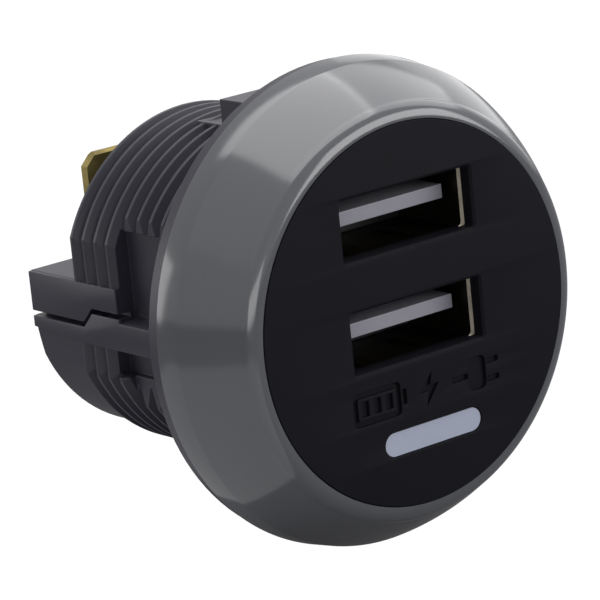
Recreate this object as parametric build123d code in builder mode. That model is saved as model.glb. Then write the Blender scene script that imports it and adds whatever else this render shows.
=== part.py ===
from build123d import *
import os

os.makedirs("parts", exist_ok=True)

# Car dual USB socket, millimetres. X right as seen from the front, Z up, the face looks along -Y.
# The origin is on the axis, in the rear face of the flange, where the socket sits on its panel.

# Barrel: the radial sizes follow the bore, from the inside out
bore_radius = 12.5
bore_flat = 3.1
barrel_wall = 1.2
window_depth = 0.6
front_flat_depth = 0.4
flat_ridge = 0.7
flat_depth = 1.15
thread_depth = 0.85
cavity_half_width = bore_radius - bore_flat
window_half_width = cavity_half_width + barrel_wall
front_half_width = window_half_width + window_depth
root_half_width = front_half_width + front_flat_depth
crest_half_width = root_half_width + flat_ridge
side_width = crest_half_width - 0.3
crest_radius = crest_half_width + flat_depth
root_radius = crest_radius - thread_depth
cavity_radius = root_radius - barrel_wall
rear_radius = crest_radius - 0.55
pitch = 1.5
crest_count = 9
crest_flat = 0.3
last_crest_y = 17.0
thread_end_y = 17.5
neck_end_y = 4.4
body_end_y = 23.4
deck_z = 2.0
deck_thick = 1.0
deck_under_z = deck_z - deck_thick
wall_front_y = 16.2
rear_wall = 1.4

# Bezel, flange and face
collar_wall = 2.7
ring_width = 4.05
face_gap = 0.15
band_drop = 0.25
band_depth = 2.1
crown_bulge = 0.15
bezel_rear_y = -1.4
face_y = -8.8
collar_front_y = -6.6
plate_rear_y = -7.0
collar_radius = bore_radius + collar_wall
face_radius = collar_radius - 5 * face_gap
lip_radius = face_radius + face_gap
bezel_radius = lip_radius + ring_width
flange_radius = bezel_radius - band_drop

# Parting slit, windows and lugs
slit_front_z = -0.2
slit_rear_z = -1.4
slit_half_gap = 0.2
slit_depth = 0.9
jog_front_y = 15.4
jog_rear_y = 16.6
window_end_y = 12.0
window_top_z = 6.4
bar_top_z = -0.7
bar_bottom_z = -2.95
low_window_z = -5.1
low_window_end_y = 13.4
lug_width = 6.0
lug_height = 2.4
lug_top_z = crest_radius + lug_height
lug_end_y = 8.6
lug_foot_z = crest_radius - 0.25
lug_foot_end_y = 11.8

# USB receptacles: the upper one reaches up to the bore, the lower one lies between it and the light
shell_width = 13.1
shell_height = 5.72
sheet = 0.3
shell_radius = 0.6
port_width = shell_width - 0.5
port_height = shell_height - 1.02
port_radius = 0.5
port_edge = 0.25
port_wall = 1.0
pocket_clearance = 0.15
bore_clearance = 0.2
tongue_width = shell_width - 2.0
tongue_thick = 1.84
tongue_drop = 0.1
tongue_front_y = -6.3
insulator_front_y = -0.2
fit_clearance = 0.05
contact_width = 1.0
contact_thick = 0.25
contact_front_y = -5.6
contact_tail_y = 5.2
contact_places = (-3.5, -1.0, 1.0, 3.5)

# Light pipe
pill_x = 0.55
pill_width = 9.4
pill_height = 1.8
pill_sink = 0.1
pill_margin = 3.2
pill_z = pill_margin - bore_radius
pipe_rim = 0.6
pipe_stem_width = 4.0
lamp_thick = 1.0
upper_port_z = ((bore_radius - bore_clearance) ** 2 - (shell_width / 2) ** 2) ** 0.5 - shell_height / 2
lower_port_z = (upper_port_z + pill_z) / 2 - 0.075

# Boards
board_thick = 1.6
board_radius = bore_radius - 0.3
socket_board_y = neck_end_y
power_board_y = 14.2
power_board_radius = cavity_radius - 0.2
board_half_width = cavity_half_width - 0.2
header_pitch = 2.54
strip_depth = 2.5
strip_width = 2.4
header_x = board_half_width - strip_width / 2 - 0.1
pin_size = 0.64

# Blades, standing on the rear deck
blade_width = 6.3
blade_thick = 0.8
blade_front_y = 19.3
blade_top_z = 10.9
blade_corner = 1.0
blade_margin = 0.75
blade_x = board_half_width - blade_margin - blade_width / 2
hole_radius = 0.85
hole_drop = 3.6
leg_width = 3.0
leg_z = -1.0
leg_front_y = 11.9
carrier_margin = 0.9

port_levels = {"upper": upper_port_z, "lower": lower_port_z}
shell_front_y = face_y + port_wall
board_front_y = socket_board_y - board_thick
power_front_y = power_board_y - board_thick
leg_top_z = leg_z + blade_thick / 2
leg_bottom_z = leg_z - blade_thick / 2
blade_places = [(side * blade_x, blade_front_y + blade_thick / 2) for side in (-1, 1)]
board_gap = power_front_y - socket_board_y


def section(y):
    return Plane(origin=(0, y, 0), x_dir=(1, 0, 0), z_dir=(0, -1, 0))


def flatted_disc(radius, half_width):
    Circle(radius)
    Rectangle(2 * half_width, 2 * radius + 1, mode=Mode.INTERSECT)


def ridge_points(root, crest):
    # zigzag from the neck to the thread's rear, crest by crest
    slope = (pitch - crest_flat) / 2 - 0.1
    points = [(crest, 0), (crest, neck_end_y)]
    for number in range(crest_count - 1, -1, -1):
        crest_y = last_crest_y - number * pitch
        points += [(root, crest_y - crest_flat / 2 - slope), (crest, crest_y - crest_flat / 2)]
        rear_y = crest_y + crest_flat / 2
        points += [(crest, rear_y), (root, min(rear_y + slope, thread_end_y))]
    return points


# Bezel ring
ring_bore = collar_radius + face_gap
band_front = (bezel_radius - band_drop, bezel_rear_y - band_depth)
crown_front = (lip_radius + 0.75, face_y + 0.35)
crown_middle = (
    (band_front[0] + crown_front[0]) / 2 + crown_bulge * 0.83,
    (band_front[1] + crown_front[1]) / 2 - crown_bulge * 0.55,
)
with BuildPart() as bezel_ring:
    with BuildSketch(Plane.XY):
        with BuildLine():
            Polyline(
                (ring_bore, bezel_rear_y),
                (bezel_radius, bezel_rear_y),
                band_front,
                crown_middle,
                crown_front,
                (lip_radius + 0.35, face_y + 0.06),
                (lip_radius, face_y + 0.15),
                (lip_radius, collar_front_y),
                (ring_bore, collar_front_y),
                close=True,
            )
        make_face()
    revolve(axis=Axis.Y)
    with BuildSketch(section(bezel_rear_y)):
        Circle(bezel_radius - 0.9)
        Circle(collar_radius + 1.1, mode=Mode.SUBTRACT)
    extrude(amount=2.4, mode=Mode.SUBTRACT)
bezel_ring.part.label = "bezel_ring"
export_step(bezel_ring.part, "parts/bezel_ring.step")

# Face plate
with BuildPart() as face_plate:
    with BuildSketch(section(plate_rear_y)):
        Circle(face_radius)
    extrude(amount=plate_rear_y - face_y)
    chamfer(face_plate.faces().sort_by(Axis.Y)[0].edges(), 0.15)
    with BuildSketch(section(collar_front_y)):
        Circle(face_radius - 0.25)
        Circle(bore_radius + 0.4, mode=Mode.SUBTRACT)
    extrude(amount=collar_front_y - plate_rear_y)
    for level in port_levels.values():
        with BuildSketch(section(plate_rear_y)):
            with Locations((0, level)):
                RectangleRounded(port_width, port_height, port_radius)
        extrude(amount=plate_rear_y - face_y, mode=Mode.SUBTRACT)
        with BuildSketch(section(plate_rear_y)):
            with Locations((0, level)):
                RectangleRounded(
                    shell_width + 2 * pocket_clearance, shell_height + 2 * pocket_clearance, shell_radius
                )
        extrude(amount=plate_rear_y - shell_front_y, mode=Mode.SUBTRACT)
    port_rims = face_plate.faces().sort_by(Axis.Y)[0].inner_wires()
    chamfer([edge for rim in port_rims for edge in rim.edges()], port_edge)
    with BuildSketch(section(plate_rear_y)):
        with Locations((pill_x, pill_z)):
            SlotOverall(pill_width + 2 * fit_clearance, pill_height + 2 * fit_clearance)
    extrude(amount=plate_rear_y - face_y, mode=Mode.SUBTRACT)
face_plate.part.label = "face_plate"
export_step(face_plate.part, "parts/face_plate.step")

# Light pipe, from the pill in the face back to the lamp on the socket board
with BuildPart() as light_pipe:
    with BuildSketch(section(plate_rear_y)):
        with Locations((pill_x, pill_z)):
            SlotOverall(pill_width, pill_height)
    extrude(amount=plate_rear_y - face_y - pill_sink)
    with BuildSketch(section(plate_rear_y + 0.8)):
        with Locations((pill_x, pill_z)):
            SlotOverall(pill_width + 2 * pipe_rim, pill_height + 2 * pipe_rim)
    extrude(amount=0.8)
    with BuildSketch(section(board_front_y - lamp_thick)):
        with Locations((pill_x, pill_z)):
            Rectangle(pipe_stem_width, pill_height)
    extrude(amount=board_front_y - lamp_thick - plate_rear_y - 0.8)
light_pipe.part.label = "light_pipe"
export_step(light_pipe.part, "parts/light_pipe.step")

# Body form: threaded barrel, rear block and lugs before it is hollowed and parted
with BuildPart() as body_form:
    barrel_points = ridge_points(root_radius, crest_radius)
    with BuildSketch(Plane.XY):
        with BuildLine():
            Polyline((0, 0), *barrel_points, (0, thread_end_y), close=True)
        make_face()
    revolve(axis=Axis.Y)
    flat_points = ridge_points(root_half_width, crest_half_width)
    with BuildSketch(Plane.XY):
        with BuildLine():
            Polyline((0, 0), *flat_points, (0, thread_end_y), close=True)
        make_face()
        mirror(about=Plane.YZ)
    extrude(amount=crest_radius + 1, both=True, mode=Mode.INTERSECT)
    # rear block under the deck
    with BuildSketch(section(body_end_y)):
        flatted_disc(rear_radius, side_width)
        with Locations((0, deck_z)):
            Rectangle(
                2 * rear_radius, 2 * rear_radius, align=(Align.CENTER, Align.MIN), mode=Mode.SUBTRACT
            )
    extrude(amount=body_end_y - last_crest_y)
    chamfer(body_form.faces().sort_by(Axis.Y)[-1].edges().filter_by(GeomType.CIRCLE), 0.6)
    for side, inner in ((-1, Align.MAX), (1, Align.MIN)):
        # deeper flats in front, then a window above and one below the bar
        with BuildSketch(section(window_end_y)):
            with Locations((side * front_half_width, 0)):
                Rectangle(4, 2 * crest_radius, align=(inner, Align.CENTER))
            with Locations((side * window_half_width, bar_top_z)):
                Rectangle(4, window_top_z - bar_top_z, align=(inner, Align.MIN))
        extrude(amount=window_end_y, mode=Mode.SUBTRACT)
        with BuildSketch(section(low_window_end_y)):
            with Locations((side * window_half_width, bar_bottom_z)):
                Rectangle(4, bar_bottom_z - low_window_z, align=(inner, Align.MAX))
        extrude(amount=low_window_end_y, mode=Mode.SUBTRACT)
        # the arm runs forward over the ridges from the rear block, and the bar on to the flange
        arm_sketch_y = last_crest_y + 0.2
        with BuildSketch(section(arm_sketch_y)):
            with Locations((side * window_half_width, deck_z)):
                Rectangle(side_width - window_half_width, deck_z - bar_bottom_z, align=(inner, Align.MAX))
        extrude(amount=arm_sketch_y - window_end_y)
        with BuildSketch(section(window_end_y + 1)):
            with Locations((side * window_half_width, bar_top_z)):
                Rectangle(side_width - window_half_width, bar_top_z - bar_bottom_z, align=(inner, Align.MAX))
        extrude(amount=window_end_y + 1)
    # keying lugs at the top and the bottom, each on a foot that fills the ridges
    for end_y, top_z in ((lug_end_y, lug_top_z), (lug_foot_end_y, lug_foot_z)):
        with BuildSketch(section(end_y)):
            for side in (-1, 1):
                with Locations((0, side * (top_z + root_radius - 0.6) / 2)):
                    Rectangle(lug_width, top_z - root_radius + 0.6)
        extrude(amount=end_y)
    # slit along both sides, where the two shells meet
    for side in (-1, 1):
        with BuildSketch(Plane(origin=(side * side_width, 0, 0), x_dir=(0, 1, 0), z_dir=(1, 0, 0))):
            with BuildLine():
                Polyline(
                    (window_end_y - 0.2, slit_front_z + slit_half_gap),
                    (jog_front_y, slit_front_z + slit_half_gap),
                    (jog_rear_y, slit_rear_z + slit_half_gap),
                    (body_end_y + 0.5, slit_rear_z + slit_half_gap),
                    (body_end_y + 0.5, slit_rear_z - slit_half_gap),
                    (jog_rear_y, slit_rear_z - slit_half_gap),
                    (jog_front_y, slit_front_z - slit_half_gap),
                    (window_end_y - 0.2, slit_front_z - slit_half_gap),
                    close=True,
                )
            make_face()
        extrude(amount=slit_depth, both=True, mode=Mode.SUBTRACT)
    # stepped cavity
    with BuildSketch(section(neck_end_y)):
        flatted_disc(bore_radius, cavity_half_width)
    extrude(amount=neck_end_y, mode=Mode.SUBTRACT)
    with BuildSketch(section(wall_front_y)):
        flatted_disc(cavity_radius, cavity_half_width)
    extrude(amount=wall_front_y - neck_end_y, mode=Mode.SUBTRACT)
    with BuildSketch(section(body_end_y - rear_wall)):
        flatted_disc(cavity_radius, cavity_half_width)
        with Locations((0, deck_under_z)):
            Rectangle(
                2 * rear_radius, 2 * rear_radius, align=(Align.CENTER, Align.MIN), mode=Mode.SUBTRACT
            )
    extrude(amount=body_end_y - rear_wall - wall_front_y, mode=Mode.SUBTRACT)
    # slots for the two blades in the deck
    with BuildSketch(Plane.XY.offset(deck_under_z - 0.1)):
        with Locations(*blade_places):
            Rectangle(blade_width + 2 * fit_clearance, blade_thick + 2 * fit_clearance)
    extrude(amount=deck_z - deck_under_z + 0.2, mode=Mode.SUBTRACT)

parting = [
    (-0.1, slit_front_z),
    (jog_front_y, slit_front_z),
    (jog_rear_y, slit_rear_z),
    (body_end_y + 1, slit_rear_z),
]

# Upper shell
with BuildPart() as upper_shell:
    add(body_form.part)
    with BuildSketch(Plane.YZ):
        with BuildLine():
            Polyline(*parting, (body_end_y + 1, crest_radius + 5), (-0.1, crest_radius + 5), close=True)
        make_face()
    extrude(amount=rear_radius + 5, both=True, mode=Mode.INTERSECT)
upper_shell.part.label = "upper_shell"
export_step(upper_shell.part, "parts/upper_shell.step")

# Lower shell, with the flange and the collar that carries the bezel and the face
with BuildPart() as lower_shell:
    add(body_form.part)
    with BuildSketch(Plane.YZ):
        with BuildLine():
            Polyline(*parting, (body_end_y + 1, -crest_radius - 5), (-0.1, -crest_radius - 5), close=True)
        make_face()
    extrude(amount=rear_radius + 5, both=True, mode=Mode.INTERSECT)
    with BuildSketch(Plane.XY):
        with BuildLine():
            Polyline(
                (0, 0),
                (flange_radius - 0.3, 0),
                (flange_radius, -0.3),
                (flange_radius, bezel_rear_y),
                (collar_radius, bezel_rear_y),
                (collar_radius, collar_front_y),
                (0, collar_front_y),
                close=True,
            )
        make_face()
    revolve(axis=Axis.Y)
    with BuildSketch(section(0)):
        flatted_disc(bore_radius, cavity_half_width)
    extrude(amount=-bezel_rear_y, mode=Mode.SUBTRACT)
    with BuildSketch(section(bezel_rear_y)):
        Circle(bore_radius)
    extrude(amount=bezel_rear_y - collar_front_y, mode=Mode.SUBTRACT)
    # two ribs behind the power board
    with BuildSketch(section(body_end_y - rear_wall)):
        for side in (-1, 1):
            with Locations((side * (cavity_half_width - 0.4), -5)):
                Rectangle(1.2, 2)
    extrude(amount=body_end_y - rear_wall - power_board_y)
lower_shell.part.label = "lower_shell"
export_step(lower_shell.part, "parts/lower_shell.step")

# USB shells, insulators and contacts, one set a port
for place, level in port_levels.items():
    tongue_low_z = level + tongue_drop
    with BuildPart() as usb_shell:
        with BuildSketch(section(board_front_y)):
            with Locations((0, level)):
                RectangleRounded(shell_width, shell_height, shell_radius)
                RectangleRounded(
                    shell_width - 2 * sheet,
                    shell_height - 2 * sheet,
                    shell_radius - sheet,
                    mode=Mode.SUBTRACT,
                )
        extrude(amount=board_front_y - shell_front_y)
    usb_shell.part.label = "usb_shell_" + place
    export_step(usb_shell.part, "parts/usb_shell_" + place + ".step")

    with BuildPart() as usb_insulator:
        with BuildSketch(section(board_front_y)):
            with Locations((0, level)):
                RectangleRounded(
                    shell_width - 2 * (sheet + fit_clearance),
                    shell_height - 2 * (sheet + fit_clearance),
                    shell_radius - sheet - fit_clearance,
                )
        extrude(amount=board_front_y - insulator_front_y)
        with BuildSketch(Plane.YZ):
            with BuildLine():
                Polyline(
                    (insulator_front_y, tongue_low_z),
                    (tongue_front_y + 0.6, tongue_low_z),
                    (tongue_front_y, tongue_low_z + 0.8),
                    (tongue_front_y, tongue_low_z + tongue_thick - 0.15),
                    (tongue_front_y + 0.15, tongue_low_z + tongue_thick),
                    (insulator_front_y, tongue_low_z + tongue_thick),
                    close=True,
                )
            make_face()
        extrude(amount=tongue_width / 2, both=True)
        with BuildSketch(section(board_front_y)):
            for contact_x in contact_places:
                with Locations((contact_x, tongue_low_z)):
                    Rectangle(
                        contact_width + 2 * fit_clearance,
                        contact_thick + fit_clearance,
                        align=(Align.CENTER, Align.MIN),
                    )
        extrude(amount=board_front_y - contact_front_y, mode=Mode.SUBTRACT)
    usb_insulator.part.label = "usb_insulator_" + place
    export_step(usb_insulator.part, "parts/usb_insulator_" + place + ".step")

    for number, contact_x in enumerate(contact_places, 1):
        contact_z = tongue_low_z + fit_clearance + contact_thick / 2
        with BuildPart() as usb_contact:
            with BuildSketch(section(board_front_y)):
                with Locations((contact_x, contact_z)):
                    Rectangle(contact_width, contact_thick)
            extrude(amount=board_front_y - contact_front_y)
            with BuildSketch(section(contact_tail_y)):
                with Locations((contact_x, contact_z)):
                    Rectangle(pin_size, contact_thick)
            extrude(amount=contact_tail_y - board_front_y)
        contact_name = "usb_contact_" + place + "_" + str(number)
        usb_contact.part.label = contact_name
        export_step(usb_contact.part, "parts/" + contact_name + ".step")

# Socket board, in the neck behind the receptacles
header_levels = (-header_pitch, 0, header_pitch)
with BuildPart() as socket_board:
    with BuildSketch(section(socket_board_y)):
        flatted_disc(board_radius, board_half_width)
        for level in port_levels.values():
            for contact_x in contact_places:
                with Locations((contact_x, level + tongue_drop + fit_clearance + contact_thick / 2)):
                    Rectangle(pin_size + 0.2, contact_thick + 0.2, mode=Mode.SUBTRACT)
        for level in header_levels:
            with Locations((header_x, level)):
                Rectangle(pin_size + 0.1, pin_size + 0.1, mode=Mode.SUBTRACT)
    extrude(amount=board_thick)
socket_board.part.label = "socket_board"
export_step(socket_board.part, "parts/socket_board.step")

# Power board, across the barrel in front of the blades
with BuildPart() as power_board:
    with BuildSketch(section(power_board_y)):
        flatted_disc(power_board_radius, board_half_width)
        with Locations((-blade_x, leg_z), (blade_x, leg_z)):
            Rectangle(leg_width + 0.1, blade_thick + 0.1, mode=Mode.SUBTRACT)
        for level in header_levels:
            with Locations((header_x, level)):
                Rectangle(pin_size + 0.1, pin_size + 0.1, mode=Mode.SUBTRACT)
    extrude(amount=board_thick)
power_board.part.label = "power_board"
export_step(power_board.part, "parts/power_board.step")

# Board header: plastic strip and three pins between the boards
with BuildPart() as board_header:
    with BuildSketch(section(socket_board_y + strip_depth)):
        with Locations((header_x, 0)):
            Rectangle(strip_width, 3 * header_pitch)
        for level in header_levels:
            with Locations((header_x, level)):
                Rectangle(pin_size + 0.02, pin_size + 0.02, mode=Mode.SUBTRACT)
    extrude(amount=strip_depth)
board_header.part.label = "board_header"
export_step(board_header.part, "parts/board_header.step")

for number, level in enumerate(header_levels, 1):
    with BuildPart() as header_pin:
        with BuildSketch(section(power_board_y + 1.0)):
            with Locations((header_x, level)):
                Rectangle(pin_size, pin_size)
        extrude(amount=power_board_y + 1.0 - board_front_y)
        chamfer(header_pin.faces().filter_by(Axis.Y).edges(), 0.12)
    header_pin.part.label = "header_pin_" + str(number)
    export_step(header_pin.part, "parts/header_pin_" + str(number) + ".step")

# Inductor: drum core with its winding, on the power board
side_margin = 1.2
inductor_clearance = 3.8
drum_depth = 1.9
drum_flange = 0.8
inductor_radius = cavity_half_width / 2 - side_margin
inductor_x = -inductor_radius - 0.7
inductor_z = leg_bottom_z - 0.3 - inductor_radius
inductor_height = board_gap - inductor_clearance
drum_waist = inductor_radius - drum_depth
with BuildPart() as inductor_core:
    with BuildSketch(section(power_front_y)):
        with Locations((inductor_x, inductor_z)):
            Circle(inductor_radius)
    extrude(amount=inductor_height)
    with BuildSketch(section(power_front_y - drum_flange)):
        with Locations((inductor_x, inductor_z)):
            Circle(inductor_radius)
            Circle(drum_waist, mode=Mode.SUBTRACT)
    extrude(amount=inductor_height - 2 * drum_flange, mode=Mode.SUBTRACT)
inductor_core.part.label = "inductor_core"
export_step(inductor_core.part, "parts/inductor_core.step")

with BuildPart() as inductor_winding:
    with BuildSketch(section(power_front_y - drum_flange)):
        with Locations((inductor_x, inductor_z)):
            Circle(inductor_radius - 0.4)
            Circle(drum_waist, mode=Mode.SUBTRACT)
    extrude(amount=inductor_height - 2 * drum_flange)
inductor_winding.part.label = "inductor_winding"
export_step(inductor_winding.part, "parts/inductor_winding.step")

# Electrolytic capacitors: the output one faces forward, the input one lies in the rear block
output_radius = inductor_radius - 0.35
output_clearance = 2.8
output_height = board_gap - output_clearance
input_radius = inductor_radius + 0.5
input_height = body_end_y - rear_wall - power_board_y - 0.6
with BuildPart() as output_capacitor:
    with BuildSketch(section(power_front_y)):
        with Locations((output_radius + 0.45, leg_bottom_z - 0.85 - output_radius)):
            Circle(output_radius)
    extrude(amount=output_height)
    chamfer(output_capacitor.faces().sort_by(Axis.Y)[0].edges(), 0.4)
output_capacitor.part.label = "output_capacitor"
export_step(output_capacitor.part, "parts/output_capacitor.step")

with BuildPart() as input_capacitor:
    with BuildSketch(section(power_board_y + input_height)):
        with Locations((0, leg_z - input_radius)):
            Circle(input_radius)
    extrude(amount=input_height)
    chamfer(input_capacitor.faces().sort_by(Axis.Y)[-1].edges(), 0.4)
input_capacitor.part.label = "input_capacitor"
export_step(input_capacitor.part, "parts/input_capacitor.step")

# Chips with their two rows of leads
chip_width = 4.9
chip_depth = 3.9
chip_height = 1.5
lead_reach = 1.0
lead_pitch = 1.27
lead_width = 0.4
lead_thick = 0.25
for name, chip_z, chip_rear_y, outward in (
    ("regulator_chip", 5.6, power_front_y, 1),
    ("charge_controller_chip", 4.0, socket_board_y, -1),
):
    with BuildPart() as chip:
        with BuildSketch(section(chip_rear_y - outward * 0.1)):
            with Locations((0, chip_z)):
                Rectangle(chip_width, chip_depth)
        extrude(amount=outward * chip_height)
        with BuildSketch(section(chip_rear_y)):
            with Locations((0, chip_z)):
                with GridLocations(lead_pitch, chip_depth + lead_reach, 4, 2):
                    Rectangle(lead_width, lead_reach)
        extrude(amount=outward * lead_thick)
        with BuildSketch(section(chip_rear_y)):
            with Locations((0, chip_z)):
                with GridLocations(lead_pitch, chip_depth - 0.1, 4, 2):
                    Rectangle(lead_width, lead_width)
        extrude(amount=outward * chip_height / 2)
    chip.part.label = name
    export_step(chip.part, "parts/" + name + ".step")

# Lamp in front of the socket board
with BuildPart() as indicator_lamp:
    with BuildSketch(section(board_front_y)):
        with Locations((pill_x, pill_z)):
            Rectangle(3.2, 1.6)
    extrude(amount=lamp_thick)
indicator_lamp.part.label = "indicator_lamp"
export_step(indicator_lamp.part, "parts/indicator_lamp.step")

# Small parts soldered flat on the boards: name, x, z, width, height, thickness, board face, direction
flat_parts = (
    ("rectifier_diode", 2.9 - board_half_width, 3.2, 2.6, 4.3, 2.2, power_front_y, 1),
    ("fuse", board_half_width - 3.3, 5.6, 1.6, 3.2, 1.0, power_front_y, 1),
    ("ceramic_capacitor_1", 0.2, 0.9, 2.0, 1.25, 1.2, power_front_y, 1),
    ("ceramic_capacitor_2", 3.4, 0.9, 2.0, 1.25, 1.2, power_front_y, 1),
    ("ceramic_capacitor_3", -5.5, 5.2, 1.25, 2.0, 1.2, socket_board_y, -1),
    ("ceramic_capacitor_4", 5.5, 5.2, 1.25, 2.0, 1.2, socket_board_y, -1),
)
for name, place_x, place_z, width, height, thick, face_at_y, outward in flat_parts:
    with BuildPart() as flat_part:
        with BuildSketch(section(face_at_y)):
            with Locations((place_x, place_z)):
                Rectangle(width, height)
        extrude(amount=outward * thick)
        chamfer(flat_part.edges().filter_by(Axis.Y), 0.1)
    flat_part.part.label = name
    export_step(flat_part.part, "parts/" + name + ".step")

# Terminal carrier under the deck, round both blades
with BuildPart() as terminal_carrier:
    with BuildSketch(Plane.XY.offset(leg_top_z)):
        with Locations((0, blade_front_y + blade_thick / 2)):
            Rectangle(2 * cavity_half_width - 0.4, blade_thick + 2 * carrier_margin)
        with Locations(*blade_places):
            Rectangle(blade_width + 0.04, blade_thick + 0.04, mode=Mode.SUBTRACT)
    extrude(amount=deck_under_z - leg_top_z)
terminal_carrier.part.label = "terminal_carrier"
export_step(terminal_carrier.part, "parts/terminal_carrier.step")

# Spade blades: each stands up through the deck and runs forward below it to the power board
for name, place_x in (("blade_positive", blade_x), ("blade_negative", -blade_x)):
    with BuildPart() as blade:
        with BuildSketch(section(blade_front_y + blade_thick)):
            with BuildLine():
                Polyline(
                    (place_x - blade_width / 2, leg_top_z),
                    (place_x + blade_width / 2, leg_top_z),
                    (place_x + blade_width / 2, blade_top_z - blade_corner),
                    (place_x + blade_width / 2 - blade_corner, blade_top_z),
                    (place_x - blade_width / 2 + blade_corner, blade_top_z),
                    (place_x - blade_width / 2, blade_top_z - blade_corner),
                    close=True,
                )
            make_face()
            with Locations((place_x, blade_top_z - hole_drop)):
                Circle(hole_radius, mode=Mode.SUBTRACT)
        extrude(amount=blade_thick)
        with BuildSketch(section(blade_front_y + blade_thick)):
            with Locations((place_x, leg_z)):
                Rectangle(leg_width, blade_thick)
        extrude(amount=blade_front_y + blade_thick - leg_front_y)
        top_edges = blade.faces().sort_by(Axis.Z)[-1].edges().filter_by(Axis.X)
        chamfer(top_edges, 0.2)
    blade.part.label = name
    export_step(blade.part, "parts/" + name + ".step")
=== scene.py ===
"""Dresses the car dual USB socket: camera and studio, finishes, and the pieces that show."""

import logging
import math
from collections.abc import Iterable, Sequence
from dataclasses import dataclass, field
from enum import Enum

import bmesh
import bpy
from mathutils import Matrix, Vector


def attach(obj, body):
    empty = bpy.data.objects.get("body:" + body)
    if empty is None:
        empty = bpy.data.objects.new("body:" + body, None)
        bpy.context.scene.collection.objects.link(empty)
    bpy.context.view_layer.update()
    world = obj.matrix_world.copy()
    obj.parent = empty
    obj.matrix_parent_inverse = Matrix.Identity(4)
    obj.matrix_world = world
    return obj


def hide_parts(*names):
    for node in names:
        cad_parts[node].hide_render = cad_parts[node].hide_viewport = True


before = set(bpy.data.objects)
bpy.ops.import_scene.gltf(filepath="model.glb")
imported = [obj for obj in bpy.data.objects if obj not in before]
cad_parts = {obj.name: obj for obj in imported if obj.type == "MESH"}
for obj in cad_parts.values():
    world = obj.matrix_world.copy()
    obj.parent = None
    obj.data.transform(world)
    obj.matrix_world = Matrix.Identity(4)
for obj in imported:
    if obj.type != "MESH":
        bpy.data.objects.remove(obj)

LOG = logging.getLogger("dual_socket")
MM = 0.001
BODY = "root"
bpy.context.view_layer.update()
PORT_LEVELS = {"upper": 7.55, "lower": -0.95}
FACE_Y = -8.8

Point2 = tuple[float, float]


def linear(hex_colour: str) -> tuple[float, float, float, float]:
    """Turns an sRGB hex colour to linear.

    Args:
        hex_colour: colour written as "#rrggbb".

    Returns:
        Linear red, green and blue, and an alpha of 1.
    """
    values = [int(hex_colour[start : start + 2], 16) / 255 for start in (1, 3, 5)]
    red, green, blue = (v / 12.92 if v <= 0.04045 else ((v + 0.055) / 1.055) ** 2.4 for v in values)
    return red, green, blue, 1.0


def add_node(
    tree: bpy.types.NodeTree,
    kind: str,
    settings: dict[str, object] | None = None,
    inputs: dict[str | int, object] | None = None,
    links: dict[str | int, bpy.types.NodeSocket] | None = None,
) -> bpy.types.Node:
    """Adds a node with its settings, its unlinked values and its links.

    Args:
        tree: node tree to add to.
        kind: Blender's name of the node type.
        settings: attributes of the node itself.
        inputs: values of input sockets, by name or number.
        links: output sockets that feed input sockets, by name or number.

    Returns:
        The new node.
    """
    node = tree.nodes.new(kind)
    for name, value in (settings or {}).items():
        setattr(node, name, value)
    for key, value in (inputs or {}).items():
        node.inputs[key].default_value = value
    for key, socket in (links or {}).items():
        tree.links.new(socket, node.inputs[key])
    return node


def empty_material(name: str) -> tuple[bpy.types.Material, bpy.types.NodeTree]:
    """Makes a material with no nodes and gives it with its tree."""
    material = bpy.data.materials.new(name)
    material.use_nodes = True
    material.node_tree.nodes.clear()
    return material, material.node_tree


class Grain(Enum):
    """How a surface was made, as the noise detail that it gets."""

    POLISHED = (0.0, 2.0)
    MOULDED = (0.35, 4.0)
    SPARKED = (0.6, 6.0)


@dataclass(frozen=True)
class Plastic:
    """A moulded thermoplastic: soft broad highlight over its own colour, and a faint mould grain."""

    name: str
    colour: str
    shade: str
    roughness: float
    grain_mm: float
    grain: Grain = Grain.MOULDED
    depth_mm: float = 0.01
    spread: float = 0.06
    ior: float = 1.53
    specular: float = 0.5
    edge_mm: float = 0.0
    drift_mm: float = 6.0

    def material(self) -> bpy.types.Material:
        """Builds the material.

        Returns:
            A plastic whose colour drifts slowly and whose gloss and relief follow the mould's grain.
        """
        material, tree = empty_material(self.name)
        place = add_node(tree, "ShaderNodeTexCoord").outputs["Object"]
        drift = add_node(
            tree,
            "ShaderNodeTexNoise",
            inputs={"Scale": 1 / (self.drift_mm * MM), "Detail": 3.0, "Roughness": 0.5},
            links={"Vector": place},
        )
        colour = add_node(
            tree,
            "ShaderNodeMix",
            {"data_type": "RGBA"},
            {"A": linear(self.colour), "B": linear(self.shade)},
            {"Factor": drift.outputs["Fac"]},
        )
        weight, detail = self.grain.value
        grain = add_node(
            tree,
            "ShaderNodeTexNoise",
            inputs={"Scale": 1 / (self.grain_mm * MM), "Detail": detail, "Roughness": 0.55},
            links={"Vector": place},
        )
        gloss = add_node(
            tree,
            "ShaderNodeMapRange",
            inputs={"To Min": self.roughness - self.spread, "To Max": self.roughness + self.spread},
            links={"Value": grain.outputs["Fac"]},
        )
        relief = add_node(
            tree,
            "ShaderNodeBump",
            inputs={"Strength": weight, "Distance": self.depth_mm * MM},
            links={"Height": grain.outputs["Fac"]},
        )
        if self.edge_mm:
            edge = add_node(tree, "ShaderNodeBevel", {"samples": 6}, {"Radius": self.edge_mm * MM})
            tree.links.new(edge.outputs["Normal"], relief.inputs["Normal"])
        shader = add_node(
            tree,
            "ShaderNodeBsdfPrincipled",
            inputs={"IOR": self.ior, "Specular IOR Level": self.specular},
            links={
                "Base Color": colour.outputs["Result"],
                "Roughness": gloss.outputs["Result"],
                "Normal": relief.outputs["Normal"],
            },
        )
        add_node(tree, "ShaderNodeOutputMaterial", links={"Surface": shader.outputs["BSDF"]})
        return material


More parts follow.
